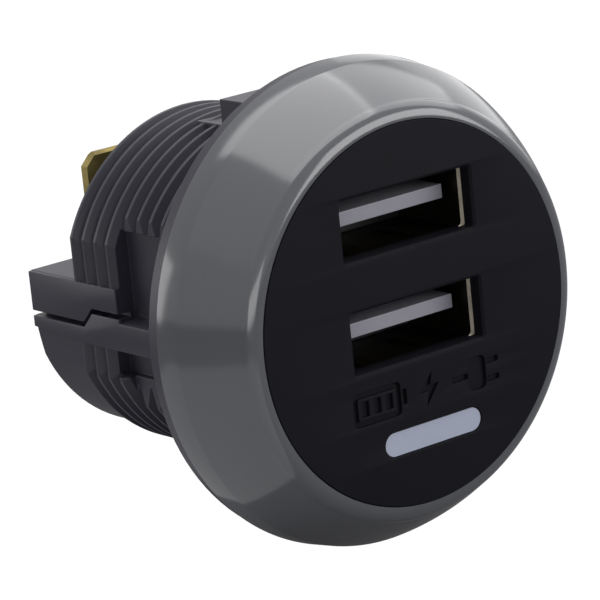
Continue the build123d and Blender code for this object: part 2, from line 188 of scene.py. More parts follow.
@dataclass(frozen=True)
class Metal:
    """A metal sheet or plating: coloured reflection, with fine rolling lines along one axis."""

    name: str
    colour: str
    tarnish: str
    roughness: float
    line_mm: float
    stretch: tuple[float, float, float] = (1.0, 0.08, 1.0)
    tarnish_mm: float = 1.5
    tarnish_range: Point2 = (0.45, 0.75)
    spread: float = 0.08
    depth_mm: float = 0.004
    depth_share: float = 0.5

    def material(self) -> bpy.types.Material:
        """Builds the material.

        Returns:
            A metal whose lines run along its least scaled axis and whose tarnish lies in soft patches.
        """
        material, tree = empty_material(self.name)
        place = add_node(tree, "ShaderNodeTexCoord").outputs["Object"]
        rolled = add_node(
            tree, "ShaderNodeMapping", inputs={"Scale": self.stretch}, links={"Vector": place}
        )
        lines = add_node(
            tree,
            "ShaderNodeTexNoise",
            inputs={"Scale": 1 / (self.line_mm * MM), "Detail": 3.0},
            links={"Vector": rolled.outputs["Vector"]},
        )
        patches = add_node(
            tree,
            "ShaderNodeTexNoise",
            inputs={"Scale": 1 / (self.tarnish_mm * MM), "Detail": 4.0},
            links={"Vector": place},
        )
        amount = add_node(
            tree,
            "ShaderNodeMapRange",
            inputs={"From Min": self.tarnish_range[0], "From Max": self.tarnish_range[1]},
            links={"Value": patches.outputs["Fac"]},
        )
        colour = add_node(
            tree,
            "ShaderNodeMix",
            {"data_type": "RGBA"},
            {"A": linear(self.colour), "B": linear(self.tarnish)},
            {"Factor": amount.outputs["Result"]},
        )
        gloss = add_node(
            tree,
            "ShaderNodeMapRange",
            inputs={"To Min": self.roughness - self.spread, "To Max": self.roughness + self.spread},
            links={"Value": lines.outputs["Fac"]},
        )
        relief = add_node(
            tree,
            "ShaderNodeBump",
            inputs={"Strength": self.depth_share, "Distance": self.depth_mm * MM},
            links={"Height": lines.outputs["Fac"]},
        )
        shader = add_node(
            tree,
            "ShaderNodeBsdfPrincipled",
            inputs={"Metallic": 1.0},
            links={
                "Base Color": colour.outputs["Result"],
                "Roughness": gloss.outputs["Result"],
                "Normal": relief.outputs["Normal"],
            },
        )
        add_node(tree, "ShaderNodeOutputMaterial", links={"Surface": shader.outputs["BSDF"]})
        return material


# ABS, polished tool: clear highlights with sharp edges over mid grey
BEZEL_ABS = Plastic(
    "bezel_abs_polished", "#4b4c50", "#47484c",
    roughness=0.14, grain_mm=0.9, grain=Grain.POLISHED, depth_mm=0.002, spread=0.02,
)
# ABS, spark-eroded tool: near black, its fine grain spreads the light so the disc shows no reflection
FACE_ABS = Plastic(
    "face_abs_sparked", "#131318", "#101014",
    roughness=0.55, grain_mm=0.16, grain=Grain.SPARKED, depth_mm=0.006, spread=0.05, specular=0.05,
)
# Glass-filled nylon, plain tool: charcoal with a soft sheen on every ridge
BODY_NYLON = Plastic(
    "body_nylon_moulded", "#2d2d36", "#27272f",
    roughness=0.42, grain_mm=0.3, depth_mm=0.006, specular=0.25, edge_mm=0.12,
)
# Polycarbonate, frosted: pale and milky, lit by the room as much as by its lamp
PIPE_PC = Plastic(
    "light_pipe_polycarbonate", "#979dac", "#8a90a2",
    roughness=0.34, grain_mm=0.5, grain=Grain.POLISHED, depth_mm=0.003, spread=0.04, ior=1.58,
)
# LCP, moulded: a lilac grey tongue that is the palest thing inside each port
TONGUE_LCP = Plastic(
    "tongue_lcp_moulded", "#828189", "#777680",
    roughness=0.45, grain_mm=0.2, depth_mm=0.004,
)
# PBT, moulded: black header strip and blade carrier; the block behind each tongue takes it too, as
# painted shade
STRIP_PBT_AND_PAINTED_SHADE = Plastic("strip_pbt_moulded_and_painted_shade", "#1b1b1d", "#141416", roughness=0.5, grain_mm=0.25)
# Epoxy laminate under solder mask: glossy dark green with the weave just showing
BOARD_FR4 = Plastic(
    "board_fr4_masked", "#1f5a33", "#174a29",
    roughness=0.3, grain_mm=0.4, depth_mm=0.006,
)
# Moulding compound: matte black with fine filler
CHIP_EPOXY = Plastic(
    "chip_epoxy_moulded", "#1c1c1e", "#242427",
    roughness=0.6, grain_mm=0.08, grain=Grain.SPARKED, depth_mm=0.004,
)
# Sintered ferrite: dull dark grey
CORE_FERRITE = Plastic(
    "core_ferrite_sintered", "#3a3a3c", "#2d2d30",
    roughness=0.65, grain_mm=0.12, grain=Grain.SPARKED, depth_mm=0.008, spread=0.08, ior=1.8,
)
# Fired ceramic: tan body of the small capacitors, with a low gloss
CAP_CERAMIC = Plastic(
    "capacitor_ceramic_fired", "#a98765", "#967453",
    roughness=0.45, grain_mm=0.15, depth_mm=0.004,
)
# Fired ceramic: off-white fuse body
FUSE_CERAMIC = Plastic(
    "fuse_ceramic_fired", "#d9d8d0", "#c9c8c0",
    roughness=0.4, grain_mm=0.15, depth_mm=0.004,
)
# Potting resin with phosphor: yellow and glossy lamp
LAMP_RESIN = Plastic(
    "lamp_resin_potted", "#e6dfae", "#d8cf95",
    roughness=0.25, grain_mm=0.3, grain=Grain.POLISHED, depth_mm=0.002,
)
# Shrunk PET sleeve: dark blue skin with a tight highlight
SLEEVE_PET = Plastic(
    "capacitor_sleeve_shrunk", "#1a2140", "#141a34",
    roughness=0.22, grain_mm=0.6, grain=Grain.POLISHED, depth_mm=0.004,
)
# Nickel-plated steel, stamped: the flared mouth shows as a warm pale line
SHELL_STEEL = Metal("port_shell_nickel_plated", "#8d867a", "#6c665b", roughness=0.36, line_mm=0.12)
# The same plating, painted dark inside: painted shade where the port shows almost black
SHELL_PAINTED_SHADE = Metal("port_inside_painted_shade_nickel", "#35322c", "#26231e", roughness=0.42, line_mm=0.12)
# Gold flash over nickel: warm yellow contact strips
CONTACT_GOLD = Metal("contact_gold_flash", "#d9b765", "#b8954a", roughness=0.24, line_mm=0.1)
# Tin plating: dull silver square pins
PIN_TIN = Metal("pin_tin_plated", "#c9c7c0", "#aba89f", roughness=0.32, line_mm=0.1)
# Brass, blanked from strip: olive, dull and patchy with tarnish
BLADE_BRASS = Metal(
    "blade_brass_blanked", "#85784b", "#5e5535",
    roughness=0.6, line_mm=0.14, stretch=(1.0, 0.1, 1.0), tarnish_mm=2.2,
)
# Enamelled copper wire, wound: orange brown with lines along each turn
WIRE_COPPER = Metal(
    "winding_copper_enamelled", "#b5643a", "#8f4a28",
    roughness=0.3, line_mm=0.25, stretch=(0.1, 1.0, 0.1),
)
# Aluminium, drawn: bright can with fine lines along its side
CAN_ALUMINIUM = Metal(
    "capacitor_can_drawn", "#c4c5c8", "#a8a9ad",
    roughness=0.28, line_mm=0.15, stretch=(1.0, 0.05, 1.0),
)

NODE_FINISHES: dict[str, Plastic | Metal] = {
    "bezel_ring": BEZEL_ABS,
    "face_plate": FACE_ABS,
    "light_pipe": PIPE_PC,
    "lower_shell": BODY_NYLON,
    "upper_shell": BODY_NYLON,
    "terminal_carrier": STRIP_PBT_AND_PAINTED_SHADE,
    "board_header": STRIP_PBT_AND_PAINTED_SHADE,
    "usb_shell": SHELL_STEEL,
    "usb_insulator": TONGUE_LCP,
    "usb_contact": CONTACT_GOLD,
    "socket_board": BOARD_FR4,
    "power_board": BOARD_FR4,
    "header_pin": PIN_TIN,
    "inductor_core": CORE_FERRITE,
    "inductor_winding": WIRE_COPPER,
    "output_capacitor": CAN_ALUMINIUM,
    "input_capacitor": SLEEVE_PET,
    "regulator_chip": CHIP_EPOXY,
    "charge_controller_chip": CHIP_EPOXY,
    "rectifier_diode": CHIP_EPOXY,
    "indicator_lamp": LAMP_RESIN,
    "fuse": FUSE_CERAMIC,
    "ceramic_capacitor": CAP_CERAMIC,
    "blade": BLADE_BRASS,
}


def finished(name: str, shape: bmesh.types.BMesh) -> bpy.types.Mesh:
    """Turns what was drawn into a mesh, and frees it."""
    mesh = bpy.data.meshes.new(name)
    shape.to_mesh(mesh)
    shape.free()
    return mesh


def mesh_piece(
    name: str, mesh: bpy.types.Mesh, finish: bpy.types.Material, smooth_degrees: float = 35.0
) -> bpy.types.Object:
    """Puts a mesh in the scene as a piece of the part.

    Args:
        name: name of the piece.
        mesh: its mesh, in metres in the part's frame.
        finish: its material.
        smooth_degrees: edges that turn less than this are shaded smooth.

    Returns:
        The new object, riding on the part's body.
    """
    piece = bpy.data.objects.new(name, mesh)
    bpy.context.scene.collection.objects.link(piece)
    mesh.materials.clear()
    mesh.materials.append(finish)
    mesh.polygons.foreach_set("use_smooth", [True] * len(mesh.polygons))
    mesh.set_sharp_from_angle(angle=math.radians(smooth_degrees))
    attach(piece, BODY)
    LOG.info("%s: %d faces", name, len(mesh.polygons))
    return piece


def lathe(name: str, profile: Sequence[Point2], steps: int = 288) -> bpy.types.Mesh:
    """Turns a closed profile round the Y axis.

    Args:
        name: name of the mesh.
        profile: radius and Y of each point, in millimetres.
        steps: steps round the axis.

    Returns:
        The closed mesh.
    """
    shape = bmesh.new()
    rings = []
    for step in range(steps):
        angle = 2 * math.pi * step / steps
        rings.append(
            [
                shape.verts.new((r * math.cos(angle) * MM, y * MM, r * math.sin(angle) * MM))
                for r, y in profile
            ]
        )
    count = len(profile)
    for step in range(steps):
        here, there = rings[step], rings[(step + 1) % steps]
        for index in range(count):
            following = (index + 1) % count
            shape.faces.new((here[index], there[index], there[following], here[following]))
    bmesh.ops.recalc_face_normals(shape, faces=shape.faces)
    return finished(name, shape)


def arc_through(start: Point2, middle: Point2, end: Point2, steps: int) -> list[Point2]:
    """Samples the arc through three points.

    Args:
        start: first point.
        middle: a point on the arc.
        end: last point.
        steps: number of spans.

    Returns:
        Points from start to end.
    """
    (ax, ay), (bx, by), (cx, cy) = start, middle, end
    twice = 2 * (ax * (by - cy) + bx * (cy - ay) + cx * (ay - by))
    sa, sb, sc = ax * ax + ay * ay, bx * bx + by * by, cx * cx + cy * cy
    ox = (sa * (by - cy) + sb * (cy - ay) + sc * (ay - by)) / twice
    oy = (sa * (cx - bx) + sb * (ax - cx) + sc * (bx - ax)) / twice
    radius = math.hypot(ax - ox, ay - oy)
    angles = [math.atan2(y - oy, x - ox) for x, y in (start, middle, end)]
    turn = (angles[2] - angles[0]) % (2 * math.pi)
    if (angles[1] - angles[0]) % (2 * math.pi) > turn:
        turn -= 2 * math.pi
    return [
        (
            ox + radius * math.cos(angles[0] + turn * step / steps),
            oy + radius * math.sin(angles[0] + turn * step / steps),
        )
        for step in range(steps + 1)
    ]


def rounded_box(width: float, height: float, radius: float, steps: int = 6) -> list[Point2]:
    """Gives the outline of a rectangle with round corners, centred on zero.

    Args:
        width: overall width.
        height: overall height.
        radius: corner radius.
        steps: spans in each corner.

    Returns:
        Points anticlockwise.
    """
    points = []
    for quarter, (sx, sy) in enumerate(((1, 1), (-1, 1), (-1, -1), (1, -1))):
        for step in range(steps + 1):
            angle = math.pi / 2 * (quarter + step / steps)
            points.append(
                (
                    sx * (width / 2 - radius) + radius * math.cos(angle),
                    sy * (height / 2 - radius) + radius * math.sin(angle),
                )
            )
    return points


def moved(points: Iterable[Point2], dx: float, dz: float) -> list[Point2]:
    """Moves an outline sideways and up."""
    return [(x + dx, z + dz) for x, z in points]


def circle(radius: float, steps: int = 192) -> list[Point2]:
    """Gives a circle's outline, anticlockwise."""
    return [
        (radius * math.cos(2 * math.pi * i / steps), radius * math.sin(2 * math.pi * i / steps))
        for i in range(steps)
    ]


def slab(
    name: str, outlines: Sequence[Sequence[Point2]], front: float, rear: float, edge: float
) -> bpy.types.Mesh:
    """Makes a flat plate across the axis, with holes and rounded edges.

    Args:
        name: name of the mesh.
        outlines: the rim first, then each hole, in millimetres as X and Z.
        front: Y of the front face.
        rear: Y of the rear face.
        edge: radius of the rounded edges.

    Returns:
        The plate's mesh.
    """
    curve = bpy.data.curves.new(name, "CURVE")
    curve.dimensions = "2D"
    curve.fill_mode = "BOTH"
    curve.extrude = (rear - front) / 2 - edge
    curve.bevel_depth = edge
    curve.offset = -edge
    curve.bevel_resolution = 3
    for outline in outlines:
        spline = curve.splines.new("POLY")
        spline.points.add(len(outline) - 1)
        for point, (x, z) in zip(spline.points, outline):
            point.co = (x, z, 0, 1)
        spline.use_cyclic_u = True
    holder = bpy.data.objects.new(name, curve)
    bpy.context.scene.collection.objects.link(holder)
    graph = bpy.context.evaluated_depsgraph_get()
    mesh = bpy.data.meshes.new_from_object(holder.evaluated_get(graph))
    bpy.data.objects.remove(holder)
    bpy.data.curves.remove(curve)
    # the curve's plane is turned up to X and Z, its own thickness runs along Y
    turn = Matrix(((1, 0, 0), (0, 0, -1), (0, 1, 0))).to_4x4()
    mesh.transform(Matrix.Translation((0, (front + rear) / 2 * MM, 0)) @ Matrix.Scale(MM, 4) @ turn)
    weld(mesh, distance_mm=0.002)
    return mesh


def funnel(
    name: str, outer: Sequence[Point2], inner: Sequence[Point2], front: float, depth: float
) -> bpy.types.Mesh:
    """Makes a ring whose inside slopes from a wide mouth to a narrower throat.

    Args:
        name: name of the mesh.
        outer: outline of the mouth, in millimetres as X and Z.
        inner: outline of the throat, with as many points.
        front: Y of the mouth.
        depth: how far behind it the throat lies.

    Returns:
        The ring's mesh, three-sided in section.
    """
    shape = bmesh.new()
    loops = [
        [shape.verts.new((x * MM, y * MM, z * MM)) for x, z in outline]
        for outline, y in ((outer, front), (inner, front + depth), (outer, front + depth))
    ]
    for here, there in zip(loops, loops[1:] + loops[:1]):
        for index in range(len(outer)):
            following = (index + 1) % len(outer)
            shape.faces.new((here[index], here[following], there[following], there[index]))
    bmesh.ops.recalc_face_normals(shape, faces=shape.faces)
    return finished(name, shape)


def weld(mesh: bpy.types.Mesh, distance_mm: float) -> None:
    """Joins points that lie together, and turns the faces outwards."""
    shape = bmesh.new()
    shape.from_mesh(mesh)
    bmesh.ops.remove_doubles(shape, verts=shape.verts, dist=distance_mm * MM)
    bmesh.ops.recalc_face_normals(shape, faces=shape.faces)
    shape.to_mesh(mesh)
    shape.free()


def joined(name: str, meshes: Sequence[bpy.types.Mesh]) -> bpy.types.Mesh:
    """Puts several meshes together as one, and removes the loose ones."""
    shape = bmesh.new()
    for mesh in meshes:
        shape.from_mesh(mesh)
        bpy.data.meshes.remove(mesh)
    return finished(name, shape)


@dataclass
class Bezel:
    """Glossy ring round the face."""

    rim_radius: float = 18.65
    rear_y: float = -1.4
    band_drop: float = 0.25
    band_depth: float = 2.1
    crown_front: Point2 = (15.86, -7.84)
    crown_bulge: float = 0.15
    crown_outward: Point2 = (0.83, -0.55)
    crown_steps: int = 40
    lip_middle: Point2 = (15.26, -8.53)
    lip_radius: float = 14.52
    lip_y: float = -8.72
    lip_steps: int = 16
    rear_chamfer: float = 0.15
    seat_y: float = -6.6
    inner_radius: float = 15.35

    def profile(self) -> list[Point2]:
        """Gives the closed section: outer band, broad crown, rounded lip and the seat behind it."""
        band_front = (self.rim_radius - self.band_drop, self.rear_y - self.band_depth)
        middle = tuple(
            (rear + front) / 2 + self.crown_bulge * outward
            for rear, front, outward in zip(band_front, self.crown_front, self.crown_outward)
        )
        lip_end = (self.lip_radius, self.lip_y)
        return [
            (self.inner_radius, self.rear_y),
            (self.rim_radius - self.rear_chamfer, self.rear_y),
            (self.rim_radius, self.rear_y - self.rear_chamfer),
            *arc_through(band_front, middle, self.crown_front, self.crown_steps),
            *arc_through(self.crown_front, self.lip_middle, lip_end, self.lip_steps)[1:],
            (self.lip_radius, self.seat_y),
            (self.inner_radius, self.seat_y),
        ]

    def build(self) -> None:
        """Makes the ring in place of its CAD node."""
        mesh = lathe("bezel_crown", self.profile())
        ring = mesh_piece("bezel_crown", mesh, BEZEL_ABS.material(), smooth_degrees=30)
        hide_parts("bezel_ring")


@dataclass
class FaceMarks:
    """Plain sunk marks between the lower port and the light: a battery, a bolt and a plug."""

    middle_z: float = -5.9
    height: float = 2.6
    stroke: float = 0.45
    battery_left: float = -6.9
    battery_width: float = 4.6
    terminal_size: Point2 = (0.4, 1.2)
    terminal_middle: float = 0.35
    bar_width: float = 0.7
    bar_margin: float = 0.25
    bar_step: float = 1.15
    bolt_middle: float = 0.5
    bolt_shape: tuple[Point2, ...] = (
        (0.35, 1.3),
        (-0.95, -0.2),
        (-0.1, -0.2),
        (-0.35, -1.3),
        (0.95, 0.3),
        (0.1, 0.3),
    )
    plug_left: float = 2.7
    lead_length: float = 1.6
    head_width: float = 1.7
    head_middle: float = 2.55
    prong_length: float = 1.2
    prong_middle: float = 4.1
    prong_rise: float = 0.7

    def battery(self) -> list[list[Point2]]:
        """Gives a battery outline, its terminal and its charge bars."""
        middle = self.battery_left + self.battery_width / 2
        right = self.battery_left + self.battery_width
        inside = self.height - 2 * self.stroke
        outer = rounded_box(self.battery_width, self.height, radius=0.4, steps=3)
        inner = rounded_box(self.battery_width - 2 * self.stroke, inside, radius=0.15, steps=3)
        terminal = rounded_box(*self.terminal_size, radius=0.1, steps=2)
        bar = rounded_box(self.bar_width, inside - 2 * self.bar_margin, radius=0.08, steps=2)
        bars = [
            moved(bar, self.battery_left + self.bar_step + self.bar_step * number, self.middle_z)
            for number in range(3)
        ]
        return [
            moved(outer, middle, self.middle_z),
            moved(inner, middle, self.middle_z),
            moved(terminal, right + self.terminal_middle, self.middle_z),
            *bars,
        ]

    def plug(self) -> list[list[Point2]]:
        """Gives a plug with two prongs and a lead."""
        lead = rounded_box(self.lead_length, self.stroke, radius=0.1, steps=2)
        head = rounded_box(self.head_width, self.height, radius=0.5, steps=4)
        prong = rounded_box(self.prong_length, self.stroke, radius=0.1, steps=2)
        prongs = [
            moved(prong, self.plug_left + self.prong_middle, self.middle_z + side * self.prong_rise)
            for side in (-1, 1)
        ]
        return [
            moved(lead, self.plug_left + self.lead_length / 2, self.middle_z),
            moved(head, self.plug_left + self.head_middle, self.middle_z),
            *prongs,
        ]

    def outlines(self) -> list[list[Point2]]:
        """Gives every outline of the marks, across the width of the port above."""
        return [*self.battery(), moved(self.bolt_shape, self.bolt_middle, self.middle_z), *self.plug()]


@dataclass
class Face:
    """Matte disc with the two ports, the light slot and the sunk marks."""

    radius: float = 14.45
    front_y: float = FACE_Y
    rear_y: float = -7.0
    layer_overlap: float = 0.01
    mark_depth: float = 0.28
    port_width: float = 12.6
    port_height: float = 4.7
    port_edge: float = 0.15
    port_edge_inset: float = 0.03
    port_corner: float = 0.2
    pill_centre: Point2 = (0.55, -9.3)
    pill_size: Point2 = (9.5, 1.9)
    marks: FaceMarks = field(default_factory=FaceMarks)

    def build(self) -> None:
        """Makes the disc as a front layer, cut through at the marks, and a body behind it."""
        eased = 2 * self.port_edge
        throat = rounded_box(self.port_width, self.port_height, self.port_corner)
        mouth = rounded_box(
            self.port_width + eased, self.port_height + eased, self.port_corner + self.port_edge
        )
        throats = [moved(throat, 0, level) for level in PORT_LEVELS.values()]
        mouths = [moved(mouth, 0, level) for level in PORT_LEVELS.values()]
        slot = rounded_box(*self.pill_size, radius=self.pill_size[1] / 2, steps=10)
        pill = moved(slot, *self.pill_centre)
        split = self.front_y + self.mark_depth
        rim = circle(self.radius)
        cuts = [*mouths, pill, *self.marks.outlines()]
        front = slab("face_front", [rim, *cuts], self.front_y, split, edge=0.06)
        behind = split - self.layer_overlap
        rear = slab("face_rear", [rim, *throats, pill], behind, self.rear_y, edge=0.02)
        edges = [
            funnel("port_edge", wide, narrow, self.front_y + self.port_edge_inset, self.port_edge)
            for wide, narrow in zip(mouths, throats)
        ]
        mesh = joined("face_disc", [front, rear, *edges])
        plate = mesh_piece("face_disc", mesh, FACE_ABS.material(), smooth_degrees=12)
        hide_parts("face_plate")


@dataclass
class Ports:
    """What shows inside the two ports: flared shells with springs, tongues and contact strips."""

    width: float = 13.1
    height: float = 5.72
    sheet: float = 0.3
    front_y: float = -7.8
    rear_y: float = 2.8
    corners: Point2 = (0.6, 0.3)
    spring_width: float = 1.5
    spring_places: tuple[float, float] = (-3.0, 3.0)
    spring_bulge: float = 0.25
    spring_start: float = 1.2
    spring_length: float = 5.2
    spring_sheet: float = 0.2
    spring_sink: float = 0.02
    spring_steps: int = 12
    flare: Point2 = (0.5, 0.25)
    flare_corner: float = 0.4
    tongue_front_y: float = -6.3
    tongue_size: Point2 = (11.1, 1.1)
    tongue_rise: float = 0.32
    tongue_root: float = 0.05
    base_front_y: float = -0.2
    base_margin: float = 0.7
    contact_size: Point2 = (1.0, 0.25)
    contact_front_y: float = -5.6
    contact_places: tuple[float, ...] = (-3.5, -1.0, 1.0, 3.5)

    def outline(self, inset: float, corner: float, level: float) -> list[Point2]:
        """Gives the shell's section at a port, drawn in by an inset."""
        box = rounded_box(self.width - 2 * inset, self.height - 2 * inset, corner)
        return moved(box, 0, level)

    def mouth(self, level: float) -> bpy.types.Mesh:
        """Makes the flare at the front of a shell, which catches the light."""
        wide, deep = self.flare
        outer, inner = (self.outline(inset, self.flare_corner, level) for inset in (0.0, wide))
        return funnel("flare", outer, inner, self.front_y, deep)

    def tube(self, level: float) -> bpy.types.Mesh:
        """Makes the folded steel tube behind the flare."""
        rings = [
            self.outline(inset, corner, level) for inset, corner in zip((0.0, self.sheet), self.corners)
        ]
        return slab("tube", rings, self.front_y + self.flare[1], self.rear_y, edge=0.02)

    def spring(self, x: float, z: float, inward: int) -> bpy.types.Mesh:
        """Makes one sprung tongue of the shell, bowed into the port.

        Args:
            x: middle of the spring.
            z: the wall that it springs from.
            inward: 1 where the port is above the wall, -1 where it is below.

        Returns:
            The bowed strip.
        """
        shape = bmesh.new()
        rows = []
        edges = (x - self.spring_width / 2, x + self.spring_width / 2)
        for step in range(self.spring_steps + 1):
            share = step / self.spring_steps
            y = self.front_y + self.spring_start + self.spring_length * share
            lift = inward * self.spring_bulge * math.sin(math.pi * share) ** 1.5
            rows.append(
                [
                    shape.verts.new((edge * MM, y * MM, (z + lift + level) * MM))
                    for level in (0.0, -inward * self.spring_sheet)
                    for edge in edges
                ]
            )
        for here, there in zip(rows, rows[1:]):
            for a, b in ((0, 1), (1, 3), (3, 2), (2, 0)):
                shape.faces.new((here[a], here[b], there[b], there[a]))
        for row in (rows[0], rows[-1]):
            shape.faces.new((row[0], row[1], row[3], row[2]))
        bmesh.ops.recalc_face_normals(shape, faces=shape.faces)
        return finished("spring", shape)

    def base(self, level: float) -> bpy.types.Mesh:
        """Makes the block that closes the shell behind the tongue; its black is painted shade there."""
        box = rounded_box(self.width - self.base_margin, self.height - self.base_margin, radius=0.25)
        return slab("base", [moved(box, 0, level)], self.base_front_y, self.rear_y, edge=0.02)

    def tongue(self, level: float) -> bpy.types.Mesh:
        """Makes the moulded tongue that stands out from the block."""
        blade = rounded_box(*self.tongue_size, radius=0.08, steps=3)
        place = moved(blade, 0, level + self.tongue_rise)
        rear_y = self.base_front_y + self.tongue_root
        return slab("tongue", [place], self.tongue_front_y, rear_y, edge=0.05)

    def contacts(self, level: float) -> list[bpy.types.Mesh]:
        """Makes the four strips let into the underside of the tongue."""
        under = level + self.tongue_rise - self.tongue_size[1] / 2
        strip = rounded_box(*self.contact_size, radius=0.03, steps=2)
        rear_y = self.base_front_y + self.tongue_root
        return [
            slab("strip", [moved(strip, x, under)], self.contact_front_y, rear_y, edge=0.02)
            for x in self.contact_places
        ]

    def build(self) -> None:
        """Makes each port's shell, tongue and contacts in place of the CAD ones."""
        steel, resin, gold = SHELL_STEEL.material(), TONGUE_LCP.material(), CONTACT_GOLD.material()
        painted_shade_steel, painted_shade_black = SHELL_PAINTED_SHADE.material(), STRIP_PBT_AND_PAINTED_SHADE.material()
        half = self.height / 2 - self.sheet
        for place, level in PORT_LEVELS.items():
            mouth = mesh_piece("port_mouth_" + place, self.mouth(level), steel)
            parts = [self.tube(level)]
            for x in self.spring_places:
                for side in (1, -1):
                    parts.append(self.spring(x, level - side * (half - self.spring_sink), side))
            # tube and springs take the plating darkened as painted shade; the mouth keeps the plating's
            # own colour
            shell = mesh_piece("port_shell_" + place, joined("port_shell_" + place, parts), painted_shade_steel)
            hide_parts("usb_shell_" + place)
            # the block behind the tongue is black as painted shade, where no light reaches
            base = mesh_piece("port_base_" + place, self.base(level), painted_shade_black)
            tongue = mesh_piece("port_tongue_" + place, self.tongue(level), resin)
            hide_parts("usb_insulator_" + place)
            strips = mesh_piece("port_contacts_" + place, joined("strips", self.contacts(level)), gold)
            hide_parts(*(f"usb_contact_{place}_{number}" for number in range(1, 5)))


@dataclass
class Barrel:
    """The two body shells with their lugs lowered, and the side plates that make the arms flush."""

    lug_top: float = 15.85
    lug_radius: float = 15.5
    lug_half_width: float = 3.0
    reach: float = 0.05
    plate_x: tuple[float, float] = (11.9, 12.33)
    edge: float = 0.08
    upper_plate: tuple[Point2, ...] = (
        (12.0, 0.0),
        (15.4, 0.0),
        (16.6, -1.2),
        (23.38, -1.2),
        (23.38, 1.98),
        (12.0, 1.98),
    )
    lower_plate: tuple[Point2, ...] = (
        (0.05, -0.72),
        (11.9, -0.72),
        (11.9, -0.4),
        (15.4, -0.4),
        (16.6, -1.6),
        (23.38, -1.6),
        (23.38, -2.5),
        (17.3, -2.94),
        (0.05, -2.94),
    )

    def plate(self, outline: Sequence[Point2], side: int) -> bpy.types.Mesh:
        """Makes a side plate from its outline in Y and Z, on one side of the barrel."""
        shape = bmesh.new()
        inner, outer = (side * x * MM for x in self.plate_x)
        face = shape.faces.new([shape.verts.new((inner, y * MM, z * MM)) for y, z in outline])
        swept = bmesh.ops.extrude_face_region(shape, geom=[face])["geom"]
        lifted = [part for part in swept if isinstance(part, bmesh.types.BMVert)]
        bmesh.ops.translate(shape, verts=lifted, vec=(outer - inner, 0, 0))
        bmesh.ops.recalc_face_normals(shape, faces=shape.faces)
        bmesh.ops.bevel(
            shape, geom=shape.edges[:], offset=self.edge * MM, segments=2, profile=0.5, affect="EDGES"
        )
        return finished("plate", shape)

    def shell(self, node: str) -> bpy.types.Mesh:
        """Copies a CAD shell and lowers its lug, so that the lug's corners lie on its radius."""
        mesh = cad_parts[node].data.copy()
        corner = math.sqrt(self.lug_radius**2 - self.lug_half_width**2)
        for vertex in mesh.vertices:
            on_top = abs(abs(vertex.co.z) - self.lug_top * MM) < self.reach * MM
            if on_top and abs(vertex.co.x) < (self.lug_half_width + self.reach) * MM:
                vertex.co.z = math.copysign(corner * MM, vertex.co.z)
        return mesh

    def build(self) -> None:
        """Makes each shell with its two side plates."""
        nylon = BODY_NYLON.material()
        for half, outline in (("upper", self.upper_plate), ("lower", self.lower_plate)):
            mesh = self.shell(f"{half}_shell")
            shell = mesh_piece(f"barrel_{half}", mesh, nylon, smooth_degrees=30)
            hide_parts(f"{half}_shell")
            plates = [self.plate(outline, side) for side in (-1, 1)]
            sides = mesh_piece(f"side_plates_{half}", joined("plates", plates), nylon)


@dataclass
class StudioLight:
    """A rectangular softbox that looks at the part."""

    name: str
    place: tuple[float, float, float]
    size: Point2
    power: float
    aim: tuple[float, float, float] = (0.0, 0.002, 0.0)

    def build(self) -> None:
        """Hangs the softbox."""
        data = bpy.data.lights.new(self.name, "AREA")
        data.shape = "RECTANGLE"
        data.size, data.size_y = self.size
        data.energy = self.power
        lamp = bpy.data.objects.new(self.name, data)
        lamp.location = self.place
        lamp.visible_camera = False
        back = (Vector(self.place) - Vector(self.aim)).normalized()
        up = back.cross(Vector((1, 0, 0))).normalized()
        lamp.rotation_euler = Matrix((up.cross(back), up, back)).transposed().to_euler()
        bpy.context.scene.collection.objects.link(lamp)


